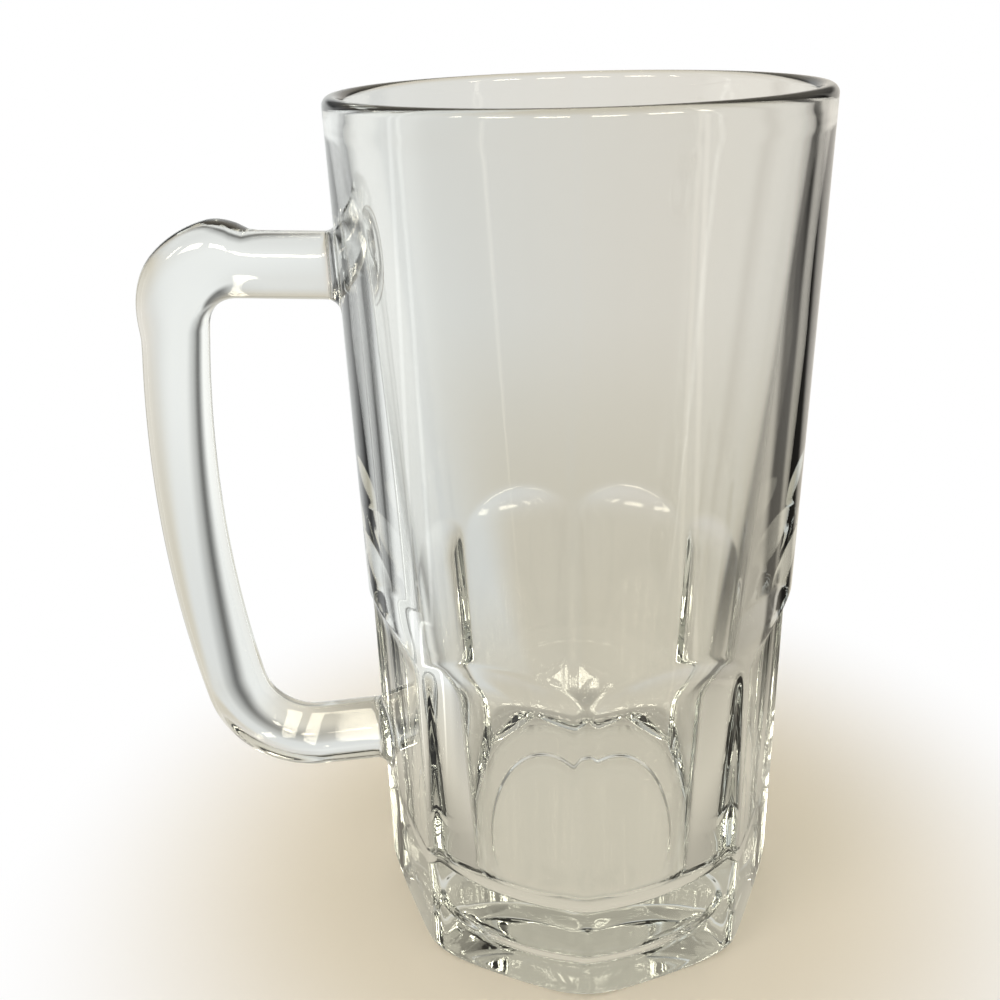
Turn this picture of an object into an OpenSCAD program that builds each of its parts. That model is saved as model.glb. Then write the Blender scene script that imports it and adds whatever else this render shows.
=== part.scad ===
// Tall pressed-glass beer mug: a round body with a ring of flat, arch-topped panels
// round its lower half, a thick solid base, and a separately pressed handle fused on hot.
// Millimetres, +Z up. The origin is on the body's axis, at the plane the mug stands on.
// The handle points along -X, and one rib between two panels lies under it.

/* [Body] */
// Height from the table to the top of the rim
body_h = 200; // [170:1:240]
// Outside diameter at the rim
rim_d = 104.5; // [94:0.5:118]
// Outside diameter of the round body from the shoulder down to the foot
waist_d = 102; // [92:0.5:114]
// Thickness of the rounded lip
lip_t = 3.9; // [3:0.1:6]
// Solid glass under the drinking space
base_t = 16; // [10:0.5:30]
// Radius between the inner wall and the floor
floor_r = 11; // [5:0.5:18]
// Radius of the heel, where the side meets the foot
heel_r = 4; // [2:0.5:6]
// Width of the ring that the mug stands on
foot_ring = 17; // [8:0.5:22]
// Rise of the shallow hollow inside that ring
foot_rise = 1.2; // [0.5:0.1:3]
// Width of the slope from the ring up to the hollow
foot_slope = 3; // [1:0.5:6]

/* [Panels] */
// Number of panels round the body
panel_n = 8; // [6:1:10]
// How far the middle of a panel lies inside the round body
panel_depth = 3.6; // [1.5:0.1:3.8]
// Height of the crown of each panel's arch
panel_top = 89.5; // [70:0.5:105]
// Height of the sloped shoulder between a panel's flat and its arch
panel_slope_h = 6.5; // [4:0.5:14]
// Glass between the inside and the middle of a panel, just above the rounding of the floor
panel_wall = 9.4; // [5:0.1:12]

/* [Handle] */
// Thickness of the bar, seen from the side
bar_t = 14.4; // [11:0.2:18]
// Width of the bar, across the palm
bar_w = 16; // [12:0.5:22]
// Squareness of the bar's section, 2 is an ellipse
bar_square = 2.5; // [2:0.1:4]
// Clear space between the body and the widest part of the grip
finger_gap = 35; // [28:0.5:48]
// Drop from the rim to the axis of the upper arm at its outer end
rim_drop = 35; // [24:0.5:48]
// Height of the axis of the lower arm at its outer end
low_arm_z = 40.7; // [32:0.1:56]
// Upward tilt of the upper arm, in degrees
top_tilt = 2; // [0:0.5:8]
// Upward tilt of the lower arm towards the body, in degrees
low_tilt = 7; // [0:0.5:12]
// Outward lean of the grip at its top, in degrees
lean_top = 8; // [2:0.5:14]
// Inward lean of the grip at its bottom, in degrees
lean_low = 10.5; // [3:0.5:18]
// Bend radius of the upper corner, along the bar's axis
corner_r = 15.2; // [12:0.2:22]
// Bend radius of the lower sweep, along the bar's axis
bend_r = 19; // [12:0.5:26]
// Swelling of the outside of the upper corner, where the thumb rests
thumb_h = 3.1; // [0:0.1:5]
// Length over which that swelling rises, along the upper arm
thumb_rise = 8; // [4:0.5:12]
// Length over which it falls, round the end of the corner
thumb_fall = 15; // [9:0.5:24]
// Radius of the flare at each root of the handle
root_flare = 3.4; // [1.5:0.1:5]

/* [Hidden] */
$fn = 180;
// Cutters run this far past what they cut
over = 2;
rim_r = rim_d / 2;
waist_r = waist_d / 2;
lip_r = lip_t / 2;
lip_z = body_h - lip_r;
// Outside radius of the round body at a height
function round_r(z) =
    z <= panel_top ? waist_r : waist_r + (rim_r - waist_r) * (z - panel_top) / (lip_z - panel_top);

// A panel's flat ends here, under its sloped shoulder
panel_r = waist_r - panel_depth;
panel_z = panel_top - panel_slope_h;
// Inside radii above the rounding of the floor and at the mouth, with an even taper between them
deep_r = panel_r - panel_wall;
mouth_r = rim_r - lip_t;
function ease(x) = x <= 0 ? 0 : x >= 1 ? 1 : x * x * (3 - 2 * x);

// Filled half section of the outside, under the lip
module outside_2d() {
    polygon([
        [0, 0],
        [waist_r - heel_r, 0],
        [waist_r, heel_r],
        [waist_r, panel_top],
        [rim_r, lip_z],
        [0, lip_z]
    ]);
    translate([waist_r - heel_r, heel_r]) intersection() {
        circle(r = heel_r);
        translate([0, -heel_r]) square([heel_r, heel_r]);
    }
}

// Half section of the drinking space
module inside_2d() {
    polygon([
        [0, base_t],
        [deep_r - floor_r, base_t],
        [deep_r, base_t + floor_r],
        [mouth_r, lip_z],
        [mouth_r, body_h + over],
        [0, body_h + over]
    ]);
    translate([deep_r - floor_r, base_t + floor_r]) intersection() {
        circle(r = floor_r);
        translate([0, -floor_r]) square([floor_r, floor_r]);
    }
}

// Half section of the shallow hollow under the foot
foot_in = waist_r - heel_r - foot_ring;
module foot_2d() {
    polygon([
        [0, -over],
        [foot_in, -over],
        [foot_in, 0],
        [foot_in - foot_slope, foot_rise],
        [0, foot_rise]
    ]);
}

// Everything outside one panel: its flat face and the sloped shoulder over it
panel_reach = rim_r - waist_r + over;
module panel_cutter() {
    rotate([90, 0, 0])
        linear_extrude(height = waist_d, center = true)
            polygon([
                [panel_r, -over],
                [waist_r + panel_reach, -over],
                [waist_r + panel_reach, panel_top + panel_reach * panel_slope_h / panel_depth],
                [panel_r, panel_z]
            ]);
}

// The panels stand so that a rib lies under the handle
module panel_cutters() {
    for (i = [0 : panel_n - 1])
        rotate([0, 0, 180 + (i + 0.5) * 360 / panel_n])
            panel_cutter();
}

// The body without its hollow, which the handle's roots are fitted to
module body_outside() {
    difference() {
        rotate_extrude() outside_2d();
        panel_cutters();
    }
}

// Handle axis, drawn in the plane of the handle as radius from the mug's axis and height.
// Headings turn from outwards (0) through down (90) to inwards (180).
head_0 = -top_tilt;
head_1 = 90 - lean_top;
head_2 = 90 + lean_low;
head_3 = 180 + low_tilt;
grip_reach = waist_r + finger_gap + bar_t / 2;
arm_z = body_h - rim_drop;
grip_top_z = arm_z + corner_r * (cos(head_1) - cos(head_0));
grip_low_z = low_arm_z - bend_r * (cos(head_3) - cos(head_2));
grip_r = (grip_top_z - grip_low_z) / (cos(head_1) - cos(head_2));
grip_top_r = grip_reach - grip_r * (1 - sin(head_1));
grip_low_r = grip_reach - grip_r * (1 - sin(head_2));
arm_r = grip_top_r - corner_r * (sin(head_1) - sin(head_0));
low_arm_r = grip_low_r + bend_r * (sin(head_3) - sin(head_2));
// Where each arm's axis meets the round body
top_wall = round_r(arm_z);
top_len = (arm_r - top_wall) / cos(top_tilt);
low_wall = round_r(low_arm_z);
low_len = (low_arm_r - low_wall) / cos(low_tilt);
corner_len = corner_r * (head_1 - head_0) * PI / 180;
// The loft runs on into the wall, so that the body can trim it
sink = panel_depth + root_flare;

// Thumb swelling at a length along the bar, counted from the start of the corner
function thumb(s) =
    thumb_h * ease((s + thumb_rise / 2) / thumb_rise)
        * ease((corner_len + thumb_fall / 3 - s) / thumb_fall);
// How far the wall falls back beside the handle's plane: the round wall above the panels,
// and below them the lower of the round rib and the two flats next to it
function round_back(v, r) = r - sqrt(r * r - v * v);
function flat_x(v) = (panel_r - abs(v) * sin(180 / panel_n)) / cos(180 / panel_n);
function rib_back(v) = max(round_back(v, waist_r), waist_r - flat_x(v));
// One ring of the loft: place, heading, thumb swelling, flare, and how far it is bent to the
// wall at the upper and the lower root
function ring(r, z, head, swell, spread, top_bend, low_bend) =
    [r, z, head, swell, spread, top_bend, low_bend];
function turn(r, z, from, to, radius, f) =
    let (h = from + (to - from) * f)
    [r + radius * (sin(h) - sin(from)), z + radius * (cos(h) - cos(from)), h];

root_steps = 7;
arm_steps = 4;
turn_steps = 12;
// A quarter round flare: distance from the wall and spread at each step
function flare_x(i) = root_flare * (1 - cos(90 * i / root_steps));
function flare_y(i) = root_flare * (1 - sin(90 * i / root_steps));
function top_ring(x, spread) =
    ring(arm_r - (top_len - x) * cos(head_0), arm_z + (top_len - x) * sin(head_0), head_0,
        thumb(x - top_len), spread, 1 - ease(x / top_len), 0);
function low_ring(x, spread) =
    ring(low_arm_r - (low_len - x) * cos(low_tilt), low_arm_z + (low_len - x) * sin(low_tilt), head_3,
        0, spread, 0, 1 - ease(x / low_len));

rings = concat(
    [top_ring(-sink, root_flare)],
    [for (i = [0 : root_steps]) top_ring(flare_x(i), flare_y(i))],
    [for (i = [1 : arm_steps]) top_ring(root_flare + (top_len - root_flare) * i / (arm_steps + 1), 0)],
    [for (i = [0 : turn_steps])
        let (p = turn(arm_r, arm_z, head_0, head_1, corner_r, i / turn_steps))
        ring(p[0], p[1], p[2], thumb(corner_len * i / turn_steps), 0, 0, 0)],
    [for (i = [1 : turn_steps])
        let (p = turn(grip_top_r, grip_top_z, head_1, head_2, grip_r, i / turn_steps))
        let (s = grip_r * (head_2 - head_1) * PI / 180 * i / turn_steps)
        ring(p[0], p[1], p[2], thumb(corner_len + s), 0, 0, 0)],
    [for (i = [1 : turn_steps])
        let (p = turn(grip_low_r, grip_low_z, head_2, head_3, bend_r, i / turn_steps))
        ring(p[0], p[1], p[2], 0, 0, 0, 0)],
    [for (i = [1 : arm_steps]) low_ring(low_len - (low_len - root_flare) * i / (arm_steps + 1), 0)],
    [for (i = [root_steps : -1 : 0]) low_ring(flare_x(i), flare_y(i))],
    [low_ring(-sink, root_flare)]
);

ring_n = 32;
function super(c) = sign(c) * pow(abs(c), 2 / bar_square);
// A point of a ring's rounded-square section, thicker outwards by the thumb swelling
function ring_point(g, a) =
    let (c = super(cos(a)))
    let (u = c * (bar_t / 2 + g[4] + (c > 0 ? g[3] : 0)))
    let (v = super(sin(a)) * (bar_w / 2 + g[4]))
    let (b = g[6] * rib_back(v) - g[5] * round_back(v, top_wall))
    [-(g[0] + u * sin(g[2]) + b * cos(g[2])), v, g[1] + u * cos(g[2]) - b * sin(g[2])];

module handle_loft() {
    last = (len(rings) - 1) * ring_n;
    polyhedron(
        points = [for (g = rings) for (j = [0 : ring_n - 1]) ring_point(g, 360 * j / ring_n)],
        faces = concat(
            [[for (j = [0 : ring_n - 1]) j]],
            [for (i = [0 : len(rings) - 2]) for (j = [0 : ring_n - 1])
                let (a = i * ring_n + j, b = i * ring_n + (j + 1) % ring_n)
                each [[a, a + ring_n, b], [b, a + ring_n, b + ring_n]]],
            [[for (j = [ring_n - 1 : -1 : 0]) last + j]]
        )
    );
}

// Pressed body: turned section with a rounded lip, cut by the ring of panels
module mug_body() {
    color("lightcyan")
        difference() {
            rotate_extrude() {
                difference() {
                    outside_2d();
                    inside_2d();
                    foot_2d();
                }
                translate([rim_r - lip_r, lip_z]) circle(r = lip_r);
            }
            panel_cutters();
        }
}

// Handle: one lofted bar with flared roots, ended by the body's own surface
module handle() {
    color("powderblue")
        difference() {
            handle_loft();
            body_outside();
        }
}

mug_body();
handle();
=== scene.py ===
import math
from functools import partial

import bmesh
import bpy
from mathutils import Matrix, Vector


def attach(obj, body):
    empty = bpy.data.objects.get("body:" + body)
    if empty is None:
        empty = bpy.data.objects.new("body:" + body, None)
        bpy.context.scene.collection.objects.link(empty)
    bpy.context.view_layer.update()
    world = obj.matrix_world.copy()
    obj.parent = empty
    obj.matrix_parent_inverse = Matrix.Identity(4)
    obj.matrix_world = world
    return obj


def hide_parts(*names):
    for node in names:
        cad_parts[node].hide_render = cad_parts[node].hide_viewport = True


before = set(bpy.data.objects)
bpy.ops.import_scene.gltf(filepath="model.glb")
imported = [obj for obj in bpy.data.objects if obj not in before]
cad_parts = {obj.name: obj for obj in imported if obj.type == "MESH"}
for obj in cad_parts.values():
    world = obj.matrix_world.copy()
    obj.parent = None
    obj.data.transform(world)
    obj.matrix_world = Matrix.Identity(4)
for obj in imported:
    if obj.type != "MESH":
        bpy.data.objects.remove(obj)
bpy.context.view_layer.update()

# Mug body
# The pressed soda-lime glass body: a round wall over a ring of flat, arch-topped panels and a thick
# solid base. A plunger shapes the round inside, the mould presses the panels, and the rim is fire-polished.

body_h = 0.200
rim_r = 0.05225
waist_r = 0.051
lip_r = 0.00195
lip_z = body_h - lip_r
heel_r = 0.004
foot_in = 0.030
foot_rise = 0.0012
foot_slope = 0.003
panel_count = 8
panel_r = 0.0474
panel_top = 0.0895
shoulder_h = 0.0065
shoulder_slope = (waist_r - panel_r) / shoulder_h
shoulder_soft = 0.0035
rib_round = 0.0055
edge_soft = 0.0010
floor_z = 0.016
floor_r = 0.011
corner_z = floor_z + floor_r
deep_r = 0.038
mouth_r = rim_r - 2 * lip_r
# The room under the bead of the lip: its depth, then how far below the lip it starts and ends, with the
# length over which it comes and goes
bead_t = 0.0003
bead_start, bead_turn = 0.002, 0.004
bead_end, bead_fade = 0.045, 0.039
# Rows of the half section, closest round the shoulders and under the lip, and columns of one panel
shoulder_low, shoulder_high = 0.074, 0.096
bead_zone = 0.010
foot_rows, ring_rows, heel_rows = 8, 6, 14
panel_rows, shoulder_rows, wall_rows, lip_rows = 22, 48, 30, 28
bead_rows, inside_rows, corner_rows, floor_rows = 24, 60, 30, 10
panel_columns = 40


def smooth_step(x):
    """0 up to 0, 1 from 1 on and a smooth rise between."""
    x = min(max(x, 0.0), 1.0)
    return x * x * (3 - 2 * x)


def steps(low, high, count):
    """Even steps from low towards high, without the last one."""
    return [low + (high - low) * i / count for i in range(count)]


def arc(middle_r, middle_z, radius, start, end, count):
    """Points along an arc between two angles in degrees, without the last one."""
    angles = [math.radians(a) for a in steps(start, end, count)]
    return [(middle_r + radius * math.cos(a), middle_z + radius * math.sin(a)) for a in angles]


def round_wall_r(z):
    """Outside radius of the round wall at a height."""
    return waist_r + (rim_r - waist_r) * max(z - panel_top, 0.0) / (lip_z - panel_top)


def inside_wall_r(z):
    """Inside radius at a height: an even taper, with a little more room under the bead of the lip."""
    down = lip_z - z
    under_lip = smooth_step((down - bead_start) / bead_turn) * smooth_step((bead_end - down) / bead_fade)
    return deep_r + (mouth_r - deep_r) * (z - corner_z) / (lip_z - corner_z) + bead_t * under_lip


def body_section():
    """Half section from the middle of the foot to that of the floor, and how many rows the mould presses."""
    line = [(r, foot_rise) for r in steps(0, foot_in - foot_slope, foot_rows)]
    for t in steps(0, 1, foot_rows):
        line.append((foot_in - foot_slope * (1 - t), foot_rise * (1 - smooth_step(t))))
    line += [(r, 0.0) for r in steps(foot_in, waist_r - heel_r, ring_rows)]
    line += arc(waist_r - heel_r, heel_r, heel_r, -90, 0, heel_rows)
    climb = steps(heel_r, shoulder_low, panel_rows)
    climb += steps(shoulder_low, shoulder_high, shoulder_rows)
    climb += steps(shoulder_high, lip_z, wall_rows)
    line += [(round_wall_r(z), z) for z in climb]
    pressed_rows = len(line)
    line += arc(rim_r - lip_r, lip_z, lip_r, 0, 180, lip_rows)
    fall = steps(lip_z, lip_z - bead_zone, bead_rows) + steps(lip_z - bead_zone, corner_z, inside_rows)
    line += [(inside_wall_r(z), z) for z in fall]
    line += arc(deep_r - floor_r, corner_z, floor_r, 0, -90, corner_rows)
    line += [(r, floor_z) for r in steps(deep_r - floor_r, 0, floor_rows)] + [(0.0, floor_z)]
    return line, pressed_rows


section, pressed_rows = body_section()
section_mesh = bpy.data.meshes.new("body_section")
section_mesh.from_pydata([(r, 0.0, z) for r, z in section], [(i, i + 1) for i in range(len(section) - 1)], [])
pressed = section_mesh.attributes.new("pressed", "FLOAT", "POINT")
for i in range(len(section)):
    pressed.data[i].value = 1.0 if i < pressed_rows else 0.0
body = bpy.data.objects.new("mug_body_glass", section_mesh)
bpy.context.scene.collection.objects.link(body)


def add_node(tree, kind, **settings):
    """A new node with these settings."""
    node = tree.nodes.new(kind)
    for name, value in settings.items():
        setattr(node, name, value)
    return node


def feed(tree, source, target):
    """Sets a socket to a value, or links another node's output to it."""
    if isinstance(source, (int, float, tuple)):
        target.default_value = source
    else:
        tree.links.new(source, target)


def number(tree, operation, *values):
    """A Math node with these inputs; returns its output."""
    node = add_node(tree, "ShaderNodeMath", operation=operation)
    for value, socket in zip(values, node.inputs):
        feed(tree, value, socket)
    return node.outputs[0]


# How strongly the columns crowd towards the ribs, a guard for rounding counts down, and the reach of the weld
crowding = 0.09
count_guard = 0.0001
weld_reach = 0.000004


def panelled_tree():
    """Turns the section round the axis and presses the ring of panels into its outside."""
    tree = bpy.data.node_groups.new("panelled_body", "GeometryNodeTree")
    calc = partial(number, tree)
    wanted = {
        "Section": "NodeSocketGeometry",
        "Panels": "NodeSocketInt",
        "Columns per panel": "NodeSocketInt",
        "Rows": "NodeSocketInt",
        "Panel radius": "NodeSocketFloat",
        "Body radius": "NodeSocketFloat",
        "Arch height": "NodeSocketFloat",
        "Shoulder slope": "NodeSocketFloat",
        "Rib round": "NodeSocketFloat",
        "Edge softness": "NodeSocketFloat",
        "Shoulder softness": "NodeSocketFloat",
        "Glass": "NodeSocketMaterial",
    }
    for name, kind in wanted.items():
        tree.interface.new_socket(name, in_out="INPUT", socket_type=kind)
    tree.interface.new_socket("Body", in_out="OUTPUT", socket_type="NodeSocketGeometry")
    given = add_node(tree, "NodeGroupInput").outputs
    columns = calc("MULTIPLY", given["Panels"], given["Columns per panel"])
    grid = add_node(tree, "GeometryNodeMeshGrid")
    feed(tree, calc("ADD", columns, 1), grid.inputs["Vertices X"])
    feed(tree, given["Rows"], grid.inputs["Vertices Y"])
    index = add_node(tree, "GeometryNodeInputIndex").outputs[0]
    row = calc("FLOORED_MODULO", index, given["Rows"])
    column = calc("FLOOR", calc("DIVIDE", calc("ADD", index, 0.5), given["Rows"]))

    def of_row(value, kind):
        """What the section holds at this row."""
        node = add_node(tree, "GeometryNodeSampleIndex", data_type=kind)
        feed(tree, given["Section"], node.inputs["Geometry"])
        feed(tree, value, node.inputs["Value"])
        feed(tree, row, node.inputs["Index"])
        return node.outputs[0]

    parts = add_node(tree, "ShaderNodeSeparateXYZ")
    place = add_node(tree, "GeometryNodeInputPosition").outputs[0]
    feed(tree, of_row(place, "FLOAT_VECTOR"), parts.inputs[0])
    radius, height = parts.outputs["X"], parts.outputs["Z"]
    mark = add_node(tree, "GeometryNodeInputNamedAttribute", data_type="FLOAT")
    mark.inputs["Name"].default_value = "pressed"
    share = of_row(mark.outputs[0], "FLOAT")
    # Columns crowd towards the ribs, where the surface turns
    across = calc("DIVIDE", column, given["Columns per panel"])
    rib = calc("FLOOR", calc("ADD", across, count_guard))
    part = calc("SUBTRACT", across, rib)
    swing = calc("MULTIPLY", calc("SINE", calc("MULTIPLY", part, 2 * math.pi)), -crowding)
    spread = calc("ADD", part, swing)
    pitch = calc("DIVIDE", 2 * math.pi, given["Panels"])
    angle = calc("ADD", calc("MULTIPLY", calc("ADD", rib, spread), pitch), math.pi)
    off_middle = calc("MULTIPLY", calc("SUBTRACT", spread, 0.5), pitch)
    # Flat of the panel, turned outwards into the sloped shoulder
    rise = calc("MULTIPLY", calc("SUBTRACT", height, given["Arch height"]), given["Shoulder slope"])
    shoulder = calc("ADD", given["Body radius"], rise)
    flat = calc("SMOOTH_MAX", given["Panel radius"], shoulder, given["Shoulder softness"])
    plain = calc("DIVIDE", flat, calc("COSINE", off_middle))
    # Rounded rib between two panels
    half = calc("MULTIPLY", pitch, 0.5)
    short = calc("SUBTRACT", flat, given["Rib round"])
    centre = calc("DIVIDE", short, calc("COSINE", half))
    from_rib = calc("SUBTRACT", half, calc("ABSOLUTE", off_middle))
    aside = calc("MULTIPLY", centre, calc("SINE", from_rib))
    inner = calc("SUBTRACT", calc("POWER", given["Rib round"], 2.0), calc("POWER", aside, 2.0))
    bow = calc("SQRT", calc("MAXIMUM", inner, 0.0))
    rounded = calc("ADD", calc("MULTIPLY", centre, calc("COSINE", from_rib)), bow)
    reach = calc("MULTIPLY", flat, calc("TANGENT", calc("ABSOLUTE", off_middle)))
    on_rib = calc("GREATER_THAN", reach, calc("MULTIPLY", short, calc("TANGENT", half)))
    cut = calc("ADD", plain, calc("MULTIPLY", calc("SUBTRACT", rounded, plain), on_rib))
    pressed_r = calc("SMOOTH_MIN", radius, cut, given["Edge softness"])
    final_r = calc("ADD", radius, calc("MULTIPLY", calc("SUBTRACT", pressed_r, radius), share))
    point = add_node(tree, "ShaderNodeCombineXYZ")
    feed(tree, calc("MULTIPLY", final_r, calc("COSINE", angle)), point.inputs["X"])
    feed(tree, calc("MULTIPLY", final_r, calc("SINE", angle)), point.inputs["Y"])
    feed(tree, height, point.inputs["Z"])
    moved = add_node(tree, "GeometryNodeSetPosition")
    feed(tree, grid.outputs["Mesh"], moved.inputs["Geometry"])
    feed(tree, point.outputs[0], moved.inputs["Position"])
    joined = add_node(tree, "GeometryNodeMergeByDistance")
    feed(tree, moved.outputs[0], joined.inputs["Geometry"])
    feed(tree, weld_reach, joined.inputs["Distance"])
    smooth = add_node(tree, "GeometryNodeSetShadeSmooth")
    feed(tree, joined.outputs[0], smooth.inputs["Geometry"])
    real = add_node(tree, "GeometryNodeRealizeInstances")
    feed(tree, smooth.outputs[0], real.inputs[0])
    coat = add_node(tree, "GeometryNodeSetMaterial")
    feed(tree, real.outputs[0], coat.inputs["Geometry"])
    feed(tree, given["Glass"], coat.inputs["Material"])
    feed(tree, coat.outputs[0], add_node(tree, "NodeGroupOutput").inputs[0])
    return tree


# Tint of one surface, tint in the depth and its density, and what is left of a lamp's light behind the glass
glass_tint = (0.92, 0.922, 0.912, 1)
depth_tint = (0.74, 0.79, 0.74, 1)
depth_density = 6.0
lamp_left = (0.90, 0.905, 0.90, 1)
glass_ior = 1.52
# Ripple of the surface: its height in metres, its waves and how it is drawn out along the axis
ripple_h = 0.00003
ripple_scale = 55.0
ripple_drawn = (1.0, 1.0, 0.22)


def pressed_glass(name):
    """Clear soda-lime glass, faintly green in the thick, with the soft ripple that pressing leaves."""
    glass = bpy.data.materials.new(name)
    glass.use_nodes = True
    tree = glass.node_tree
    tree.nodes.clear()
    out = add_node(tree, "ShaderNodeOutputMaterial")
    shader = add_node(tree, "ShaderNodeBsdfPrincipled")
    shader.inputs["Base Color"].default_value = glass_tint
    shader.inputs["Roughness"].default_value = 0.0
    shader.inputs["IOR"].default_value = glass_ior
    shader.inputs["Transmission Weight"].default_value = 1.0
    drawn = add_node(tree, "ShaderNodeMapping")
    drawn.inputs["Scale"].default_value = ripple_drawn
    feed(tree, add_node(tree, "ShaderNodeTexCoord").outputs["Object"], drawn.inputs["Vector"])
    waves = add_node(tree, "ShaderNodeTexNoise")
    waves.inputs["Scale"].default_value = ripple_scale
    waves.inputs["Detail"].default_value = 1.0
    feed(tree, drawn.outputs[0], waves.inputs["Vector"])
    bump = add_node(tree, "ShaderNodeBump")
    bump.inputs["Strength"].default_value = 1.0
    bump.inputs["Distance"].default_value = ripple_h
    feed(tree, waves.outputs[0], bump.inputs["Height"])
    feed(tree, bump.outputs[0], shader.inputs["Normal"])
    lamp_pass = add_node(tree, "ShaderNodeBsdfTransparent")
    lamp_pass.inputs["Color"].default_value = lamp_left
    mix = add_node(tree, "ShaderNodeMixShader")
    feed(tree, add_node(tree, "ShaderNodeLightPath").outputs["Is Shadow Ray"], mix.inputs[0])
    feed(tree, shader.outputs[0], mix.inputs[1])
    feed(tree, lamp_pass.outputs[0], mix.inputs[2])
    feed(tree, mix.outputs[0], out.inputs["Surface"])
    depth = add_node(tree, "ShaderNodeVolumeAbsorption")
    depth.inputs["Color"].default_value = depth_tint
    depth.inputs["Density"].default_value = depth_density
    feed(tree, depth.outputs[0], out.inputs["Volume"])
    return glass


turning = body.modifiers.new("panels", "NODES")
turning.node_group = panelled_tree()
body_sizes = {
    "Panels": panel_count,
    "Columns per panel": panel_columns,
    "Rows": len(section),
    "Panel radius": panel_r,
    "Body radius": waist_r,
    "Arch height": panel_top,
    "Shoulder slope": shoulder_slope,
    "Rib round": rib_round,
    "Edge softness": edge_soft,
    "Shoulder softness": shoulder_soft,
    "Glass": pressed_glass("body_glass"),
}
for item in turning.node_group.interface.items_tree:
    if item.in_out == "INPUT" and item.name in body_sizes:
        turning[item.identifier] = body_sizes[item.name]


def made_plain(obj):
    """Replaces an object's mesh by what its modifiers make of it, with its faces turned outwards."""
    bpy.context.view_layer.update()
    seen = obj.evaluated_get(bpy.context.evaluated_depsgraph_get())
    mesh = bpy.data.meshes.new_from_object(seen)
    obj.modifiers.clear()
    obj.data = mesh
    shape = bmesh.new()
    shape.from_mesh(mesh)
    bmesh.ops.recalc_face_normals(shape, faces=shape.faces)
    if shape.calc_volume(signed=True) < 0:
        bmesh.ops.reverse_faces(shape, faces=shape.faces)
    shape.to_mesh(mesh)
    shape.free()


made_plain(body)
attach(body, "root")
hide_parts("mug_body")

# Handle
# A heavy bar of the same glass, pressed by itself and fused to the body while hot, so its flared roots
# run into the wall. The outside of the upper corner swells into a blunt rest for the thumb.

bar_t = 0.0144
bar_w = 0.016
bar_square = 2.5
finger_room = 0.035
grip_reach = waist_r + finger_room + bar_t / 2
arm_drop = 0.035
arm_z = body_h - arm_drop
low_arm_z = 0.0407
corner_r = 0.0152
bend_r = 0.019
thumb_h = 0.0031
thumb_rise = 0.008
thumb_fall = 0.015
root_flare = 0.0034
# How deep the cap of a root lies inside the wall, and the hair of room that is left at its rim
joint_depth = 0.00004
seam_gap = 0.00006
# Where the bar heads at the end of the arm, the corner, the grip and the lower bend, as an angle down from
# straight out
arm_head, grip_head, sweep_head, low_head = (math.radians(a) for a in (-2.0, 82.0, 100.5, 187.0))
grip_top_z = arm_z + corner_r * (math.cos(grip_head) - math.cos(arm_head))
grip_low_z = low_arm_z - bend_r * (math.cos(low_head) - math.cos(sweep_head))
grip_r = (grip_top_z - grip_low_z) / (math.cos(grip_head) - math.cos(sweep_head))
grip_top_r = grip_reach - grip_r * (1 - math.sin(grip_head))
grip_low_r = grip_reach - grip_r * (1 - math.sin(sweep_head))
arm_r = grip_top_r - corner_r * (math.sin(grip_head) - math.sin(arm_head))
low_arm_r = grip_low_r + bend_r * (math.sin(low_head) - math.sin(sweep_head))
corner_len = corner_r * (grip_head - arm_head)
# Each arm: the end of its straight part, where it heads there, and the length of that part from the wall
top_arm = (arm_r, arm_z, arm_head, (arm_r - round_wall_r(arm_z)) / math.cos(arm_head))
low_arm = (low_arm_r, low_arm_z, low_head, (low_arm_r - waist_r) / -math.cos(low_head))
ring_points = 72
cap_rings, root_steps, arm_steps, turn_steps = 8, 12, 8, 30
# Rounds of stepping that bring a point onto the body's surface
wall_rounds, ray_rounds = 6, 4


def soft_max(a, b, reach):
    """Larger of two values, rounded where they meet, as the Smooth Maximum of a Math node."""
    h = max(reach - abs(a - b), 0.0) / reach
    return max(a, b) + h ** 3 * reach / 6


def wall_x(v, z):
    """How far out the body's pressed outside lies at a height, a step v aside from the handle's plane."""
    flat = soft_max(panel_r, waist_r + (z - panel_top) * shoulder_slope, shoulder_soft)
    half = math.pi / panel_count
    x = waist_r
    for _ in range(wall_rounds):
        off = abs(abs(math.atan2(v, x)) - half)
        cut = flat / math.cos(off)
        if flat * math.tan(off) > (flat - rib_round) * math.tan(half):
            centre = (flat - rib_round) / math.cos(half)
            aside = centre * math.sin(half - off)
            cut = centre * math.cos(half - off) + math.sqrt(rib_round ** 2 - aside ** 2)
        r = -soft_max(-round_wall_r(z), -cut, edge_soft)
        x = math.sqrt(r * r - v * v)
    return x


def thumb(s):
    """Height of the thumb's rest at a length along the bar, from the start of the corner."""
    start = smooth_step((s + thumb_rise / 2) / thumb_rise)
    return thumb_h * start * smooth_step((corner_len + thumb_fall / 3 - s) / thumb_fall)


def squared(c):
    """Draws a sine or cosine out towards the corners of a rounded square."""
    return math.copysign(abs(c) ** (2 / bar_square), c)


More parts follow.
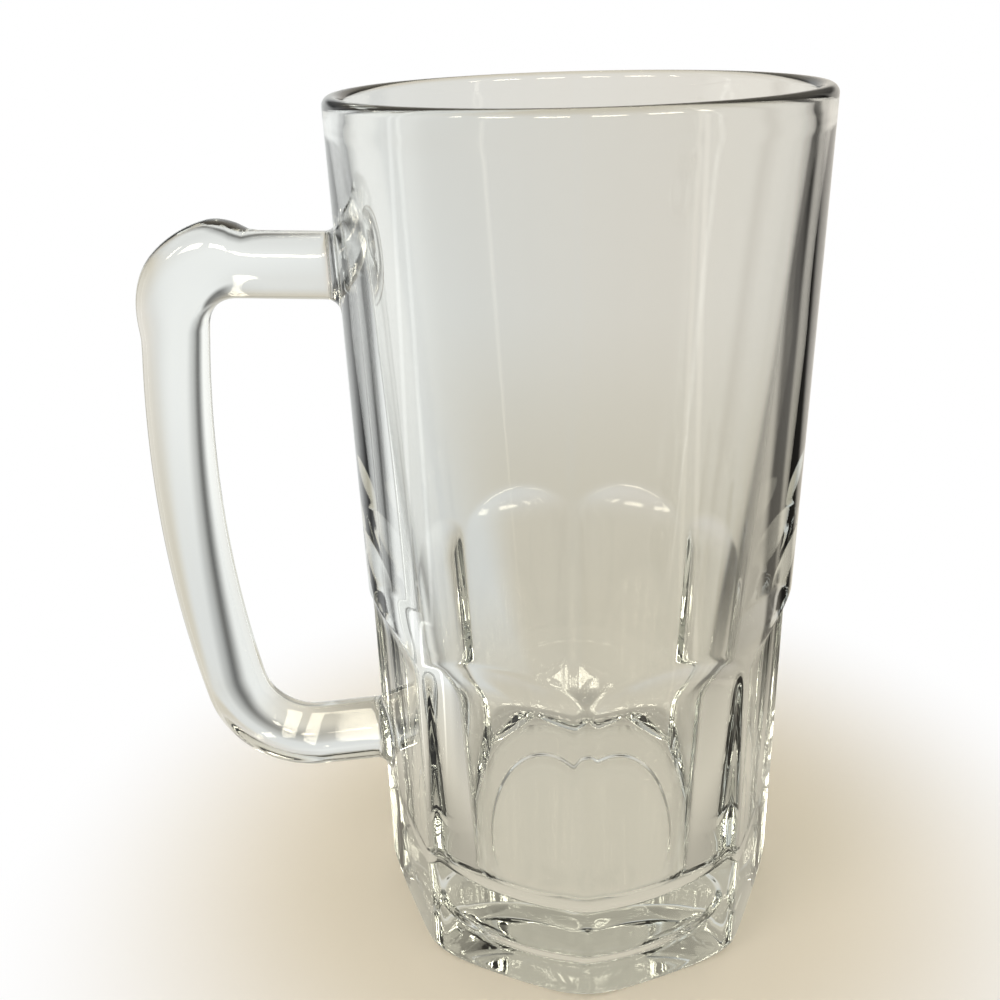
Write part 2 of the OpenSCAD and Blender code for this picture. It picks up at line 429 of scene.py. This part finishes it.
def bar_ring(r, z, head, swell, spread, shrink=1.0, wall_gap=None, hold=0.0):
    """One ring round the bar. With wall_gap it is drawn, by the share hold, to that gap off the body."""
    points = []
    for j in range(ring_points):
        a = 2 * math.pi * j / ring_points
        c = squared(math.cos(a))
        u = c * (bar_t / 2 + spread + (swell if c > 0 else 0.0)) * shrink
        v = squared(math.sin(a)) * (bar_w / 2 + spread) * shrink
        pr, pz = r + u * math.sin(head), z + u * math.cos(head)
        if wall_gap is not None:
            side = math.copysign(1.0, math.cos(head))
            br, bz = pr, pz
            for _ in range(ray_rounds):
                t = (wall_x(v, bz) - br) / math.cos(head)
                br, bz = br + t * math.cos(head), bz - t * math.sin(head)
            br, bz = br + wall_gap * side * math.cos(head), bz - wall_gap * side * math.sin(head)
            pr, pz = pr + (br - pr) * hold, pz + (bz - pz) * hold
        points.append((-pr, v, pz))
    return points


def root_ring(arm, x, spread, hold, shrink=1.0):
    """One ring of an arm, at the length x from the wall."""
    r, z, head, length = arm
    back = (length - x) * math.copysign(1.0, math.cos(head))
    r, z = r - back * math.cos(head), z + back * math.sin(head)
    swell = thumb(x - length) if arm is top_arm else 0.0
    return bar_ring(r, z, head, swell, spread, shrink, x, hold)


def root_rings(arm):
    """The rings of one root, from the cap inside the wall, over the flare, to the plain bar."""
    made = []
    for k in range(1, cap_rings + 1):
        gap = -joint_depth if k < cap_rings - 1 else seam_gap
        made.append(root_ring(arm, gap, root_flare, 1.0, k / cap_rings))
    for i in range(root_steps + 1):
        a = math.radians(90 * i / root_steps)
        made.append(root_ring(arm, root_flare * (1 - math.cos(a)), root_flare * (1 - math.sin(a)), 1.0))
    length = arm[-1]
    for i in range(1, arm_steps):
        f = i / arm_steps
        made.append(root_ring(arm, root_flare + (length - root_flare) * f, 0.0, 1 - smooth_step(f)))
    return made


def turned(r, z, start, end, radius, f):
    """Place and heading at a share of the way round a bend."""
    head = start + (end - start) * f
    r += radius * (math.sin(head) - math.sin(start))
    return r, z + radius * (math.cos(head) - math.cos(start)), head


rings = root_rings(top_arm)
for f in steps(0, 1, turn_steps):
    place = turned(arm_r, arm_z, arm_head, grip_head, corner_r, f)
    rings.append(bar_ring(*place, thumb(corner_len * f), 0.0))
for f in steps(0, 1, turn_steps):
    place = turned(grip_top_r, grip_top_z, grip_head, sweep_head, grip_r, f)
    rings.append(bar_ring(*place, thumb(corner_len + grip_r * (sweep_head - grip_head) * f), 0.0))
for f in steps(0, 1, turn_steps) + [1.0]:
    place = turned(grip_low_r, grip_low_z, sweep_head, low_head, bend_r, f)
    rings.append(bar_ring(*place, 0.0, 0.0))
rings += reversed(root_rings(low_arm))

bar = bmesh.new()
loops = [[bar.verts.new(p) for p in ring] for ring in rings]
for one, two in zip(loops, loops[1:]):
    for j in range(ring_points):
        k = (j + 1) % ring_points
        bar.faces.new((one[j], two[j], two[k], one[k]))
for loop in (loops[0], loops[-1]):
    middle = bar.verts.new(sum((v.co for v in loop), Vector()) / ring_points)
    for j in range(ring_points):
        bar.faces.new((loop[j], loop[(j + 1) % ring_points], middle))
bmesh.ops.recalc_face_normals(bar, faces=bar.faces)
for face in bar.faces:
    face.smooth = True
# The rim of each root stays a sharp edge
for loop in (loops[cap_rings - 1], loops[-cap_rings]):
    for j in range(ring_points):
        bar.edges.get((loop[j], loop[(j + 1) % ring_points])).smooth = False
bar_mesh = bpy.data.meshes.new("handle_glass")
bar.to_mesh(bar_mesh)
bar.free()
handle = bpy.data.objects.new("handle_glass", bar_mesh)
bpy.context.scene.collection.objects.link(handle)
bar_mesh.materials.append(pressed_glass("handle_glass"))
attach(handle, "root")
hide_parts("handle")

# Studio
# A plain pale floor that runs out into a white backdrop, under one soft lamp, with the camera where the
# photograph was taken. Only the glass also meets the grey cards and lamps round it, which draw its edges.

# Middle of each card, in degrees to the right of straight behind the mug, its half width, soft edge and level
cards = {
    "left_dark": (-58.0, 9.0, 4.0, 0.16),
    "right_dark": (54.0, 9.0, 4.0, 0.05),
    "left_soft": (-82.0, 24.0, 6.0, 1.15),
    "left_tube": (-92.0, 1.3, 0.8, 2.6),
    "right_tube": (127.0, 1.3, 0.8, 2.6),
    "right_grey": (105.0, 18.0, 8.0, 0.55),
    "front_pale": (180.0, 50.0, 8.0, 0.62),
}
between_cards = 0.60
# The plain ceiling over the cards: its level, and the degrees up between which it takes over
top_level, top_lift = 0.50, (8.0, 30.0)
# The backdrop: its half width and soft edge, its level at the left, in the middle and high up, and the
# degrees between which the middle and the upper part take over
back_half, back_soft = 42.0, 5.0
# The lower level in the middle is painted shadow of the mug on the wall behind it, as the glass sees it
back_left, back_middle, back_high = 0.98, 0.83, 0.58
middle_turn, high_lift = (-26.0, -6.0), (8.0, 40.0)
# The dark upper corners of the backdrop: their level, and the degrees aside and up between which they set in
upper_dark, upper_aside, upper_lift = 0.15, (12.0, 24.0), (4.0, 12.0)
# A row of small lamps over the camera, which draws broken lights on the lip, the shoulders and the floor's
# corner: its half width, lower and upper edge, soft edge and pitch in degrees, the shares of the pitch
# between which a lamp sets in, and its level
row_half, row_low, row_high, row_soft, row_pitch = 60.0, 26.0, 40.0, 3.0, 26.0
row_share, row_level = (0.16, 0.24), 14.0
# Tint at the left, at the right, and close by or high up, with the degrees and the distances of the changes
cool_tint = (0.98, 1.0, 0.985, 1)
warm_tint = (1.0, 0.95, 0.86, 1)
sand_tint = (1.0, 0.93, 0.77, 1)
warm_turn, sand_turn, sand_lift = (-20.0, 15.0), (-26.0, -8.0), (12.0, 30.0)
# The second number is painted shade: the share by which the floor close by is darkened, as the glass sees it
near_reach, near_shade = (0.12, 0.50), 0.15
# The floor as the glass sees it, a glow that stands in for the lit floor: its level close by, and a painted
# shadow, the darker ring round the heel, where the thick glass keeps the light away
floor_glow_level = 0.73
shade_in, shade_out, shade_depth = 0.052, 0.085, 0.35
shade_rise, shade_full = 0.006, 0.008
# Distances from the mug between which the floor runs out into the white
pale_start, pale_end = 0.06, 0.16


def ramp(tree, value, low, high):
    """0 up to low, 1 from high on and a smooth rise between; with low above high it falls instead."""
    node = add_node(tree, "ShaderNodeMapRange", interpolation_type="SMOOTHSTEP")
    for source, socket in zip((value, low, high, 0.0, 1.0), node.inputs):
        feed(tree, source, socket)
    return node.outputs[0]


def blend(tree, share, start, end, kind="FLOAT"):
    """A Mix node from start to end by a share; returns its output."""
    node = add_node(tree, "ShaderNodeMix", data_type=kind)
    for source, name in ((share, "Factor"), (start, "A"), (end, "B")):
        feed(tree, source, node.inputs[name])
    return node.outputs["Result"]


def vector_length(tree, vector):
    """A Vector Math node that measures a vector; returns its output."""
    node = add_node(tree, "ShaderNodeVectorMath", operation="LENGTH")
    feed(tree, vector, node.inputs[0])
    return node.outputs["Value"]


def surround_tree():
    """Level and tint of the light that reaches the glass from a direction, or from a spot on the floor."""
    tree = bpy.data.node_groups.new("surround_light", "ShaderNodeTree")
    tree.interface.new_socket("Direction", in_out="INPUT", socket_type="NodeSocketVector")
    tree.interface.new_socket("Level", in_out="OUTPUT", socket_type="NodeSocketFloat")
    tree.interface.new_socket("Tint", in_out="OUTPUT", socket_type="NodeSocketColor")
    calc, rise, mixed = partial(number, tree), partial(ramp, tree), partial(blend, tree)
    direction = add_node(tree, "NodeGroupInput").outputs["Direction"]
    parts = add_node(tree, "ShaderNodeSeparateXYZ")
    feed(tree, direction, parts.inputs[0])
    x, y, z = parts.outputs
    flat = calc("SQRT", calc("ADD", calc("MULTIPLY", x, x), calc("MULTIPLY", y, y)))
    turn = calc("DEGREES", calc("ARCTAN2", x, y))
    lift = calc("DEGREES", calc("ARCTAN2", z, flat))
    size = vector_length(tree, direction)
    near = calc("SUBTRACT", 1.0, rise(size, *near_reach))

    def turn_from(middle):
        """Degrees between this direction and another, all round."""
        return calc("ABSOLUTE", calc("WRAP", calc("SUBTRACT", turn, middle), 180.0, -180.0))

    # Cards all round, under the ceiling
    level = between_cards
    for middle, half, soft, card_level in cards.values():
        level = mixed(rise(turn_from(middle), half - soft, half + soft), card_level, level)
    level = mixed(rise(lift, *top_lift), level, top_level)
    # Backdrop, with its dark upper corners and the painted shadow of the mug in its middle
    aside = calc("ABSOLUTE", turn)
    back = mixed(rise(turn, *middle_turn), back_left, back_middle)
    back = mixed(calc("MULTIPLY", rise(lift, *upper_lift), rise(aside, *upper_aside)), back, upper_dark)
    back = mixed(rise(lift, *high_lift), back, back_high)
    level = mixed(rise(aside, back_half - back_soft, back_half + back_soft), back, level)
    # Row of lamps
    off = turn_from(180.0)
    beat = calc("PINGPONG", off, row_pitch / 2)
    in_row = rise(off, row_half + row_soft, row_half)
    in_row = calc("MULTIPLY", in_row, rise(lift, row_low, row_low + row_soft))
    in_row = calc("MULTIPLY", in_row, rise(lift, row_high, row_high - row_soft))
    in_row = calc("MULTIPLY", in_row, rise(beat, *(row_pitch * share for share in row_share)))
    level = mixed(in_row, level, row_level)
    # Painted shade on the floor close by
    level = calc("MULTIPLY", level, calc("SUBTRACT", 1.0, calc("MULTIPLY", near, near_shade)))
    # Floor close by: a glow, with a painted shadow ring round the heel
    ring = rise(size, shade_in - shade_rise, shade_in)
    ring = calc("MULTIPLY", ring, rise(size, shade_out, shade_in + shade_full))
    ground = calc("MULTIPLY", calc("SUBTRACT", 1.0, calc("MULTIPLY", ring, shade_depth)), floor_glow_level)
    level = mixed(rise(size, pale_start, pale_end), ground, level)
    sandy = calc("MAXIMUM", calc("MULTIPLY", near, rise(turn, *sand_turn)), rise(lift, *sand_lift))
    sandy = calc("MAXIMUM", sandy, rise(size, pale_end, pale_start))
    tint = mixed(rise(turn, *warm_turn), cool_tint, warm_tint, "RGBA")
    tint = mixed(sandy, tint, sand_tint, "RGBA")
    out = add_node(tree, "NodeGroupOutput").inputs
    feed(tree, level, out["Level"])
    feed(tree, tint, out["Tint"])
    return tree


surround = surround_tree()
white = (1, 1, 1, 1)


def from_glass(tree):
    """1 for rays that come from the glass by reflection or refraction, else 0."""
    path = add_node(tree, "ShaderNodeLightPath").outputs
    return number(tree, "MAXIMUM", path["Is Glossy Ray"], path["Is Transmission Ray"])


def surround_light(tree, shader, direction):
    """Gives an emitting shader the surround's light for rays from the glass, and plain white for others."""
    group = add_node(tree, "ShaderNodeGroup", node_tree=surround)
    feed(tree, direction, group.inputs["Direction"])
    glass_ray = from_glass(tree)
    feed(tree, blend(tree, glass_ray, white, group.outputs["Tint"], "RGBA"), shader.inputs["Color"])
    feed(tree, blend(tree, glass_ray, 1.0, group.outputs["Level"]), shader.inputs["Strength"])


# The floor lies a hair under the foot, so that light turns in the foot as it does over air
floor_half = 6.0
floor_gap = 0.0003
floor_dark = (0.60, 0.53, 0.405, 1)
floor_pale = (0.64, 0.57, 0.445, 1)
floor_grain = 9.0
floor_rough = 0.9
floor_corners = [
    (-floor_half, -floor_half, -floor_gap),
    (floor_half, -floor_half, -floor_gap),
    (floor_half, floor_half, -floor_gap),
    (-floor_half, floor_half, -floor_gap),
]
floor_mesh = bpy.data.meshes.new("floor")
floor_mesh.from_pydata(floor_corners, [], [(0, 1, 2, 3)])
floor = bpy.data.objects.new("floor", floor_mesh)
bpy.context.scene.collection.objects.link(floor)
floor_paint = bpy.data.materials.new("floor_paint")
floor_paint.use_nodes = True
paint = floor_paint.node_tree
paint_shader = paint.nodes["Principled BSDF"]
paint_shader.inputs["Roughness"].default_value = floor_rough
spot = add_node(paint, "ShaderNodeTexCoord").outputs["Object"]
grain = add_node(paint, "ShaderNodeTexNoise")
grain.inputs["Scale"].default_value = floor_grain
feed(paint, spot, grain.inputs["Vector"])
feed(paint, blend(paint, grain.outputs[0], floor_dark, floor_pale, "RGBA"), paint_shader.inputs["Base Color"])
glow = add_node(paint, "ShaderNodeEmission")
surround_light(paint, glow, spot)
# Camera rays see the lit floor run out into white; rays from the glass see only the glow, with its painted
# shade close by
far = ramp(paint, vector_length(paint, spot), pale_start, pale_end)
run_out = add_node(paint, "ShaderNodeMixShader")
feed(paint, number(paint, "MAXIMUM", far, from_glass(paint)), run_out.inputs[0])
feed(paint, paint_shader.outputs[0], run_out.inputs[1])
feed(paint, glow.outputs[0], run_out.inputs[2])
feed(paint, run_out.outputs[0], paint.nodes["Material Output"].inputs["Surface"])
floor_mesh.materials.append(floor_paint)

# The surround lights the glass from all sides, and the camera sees it as plain white
world = bpy.data.worlds.new("surround")
bpy.context.scene.world = world
world.use_nodes = True
sky = world.node_tree
sky.nodes.clear()
pale = add_node(sky, "ShaderNodeBackground")
surround_light(sky, pale, add_node(sky, "ShaderNodeTexCoord").outputs["Generated"])
feed(sky, pale.outputs[0], add_node(sky, "ShaderNodeOutputWorld").inputs["Surface"])

# The soft lamp lights the floor; the glass meets only the cards
lamp_place = Vector((-0.7, -0.6, 1.2))
lamp_aim = Vector((0, 0, 0.1))
lamp_side = 0.4
lamp_watts = 8
lamp_data = bpy.data.lights.new("key_light", "AREA")
lamp_data.size = lamp_side
lamp_data.energy = lamp_watts
lamp = bpy.data.objects.new("key_light", lamp_data)
lamp.location = lamp_place
lamp.rotation_euler = (lamp_aim - lamp_place).to_track_quat("-Z", "Y").to_euler()
lamp.visible_camera = lamp.visible_glossy = lamp.visible_transmission = False
bpy.context.scene.collection.objects.link(lamp)

# The camera as fitted to the photograph: focal length and width of the frame in its pixels, place, and angles
focal_px, frame_px = 1131.5, 1000
camera_place = (-0.008404, -0.24750, 0.21669)
yaw, tip, roll = (math.radians(a) for a in (-2.324, 23.864, -1.832))
camera_data = bpy.data.cameras.new("camera")
camera_data.sensor_width = 36.0
camera_data.lens = camera_data.sensor_width * focal_px / frame_px
camera_data.clip_start = 0.01
camera = bpy.data.objects.new("camera", camera_data)
bpy.context.scene.collection.objects.link(camera)
ahead = Vector((math.sin(yaw) * math.cos(tip), math.cos(yaw) * math.cos(tip), -math.sin(tip)))
right = Vector((math.cos(yaw), -math.sin(yaw), 0.0))
up = right.cross(ahead)
camera_right = right * math.cos(roll) + up * math.sin(roll)
camera_up = up * math.cos(roll) - right * math.sin(roll)
placing = Matrix((camera_right, camera_up, -ahead)).transposed().to_4x4()
placing.translation = camera_place
camera.matrix_world = placing
bpy.context.scene.camera = camera
bpy.context.scene.view_settings.view_transform = "Standard"
# Light turns many times inside the thick glass before it leaves
light_path = bpy.context.scene.cycles
light_path.max_bounces = 48
light_path.glossy_bounces = 7
light_path.transmission_bounces = 40
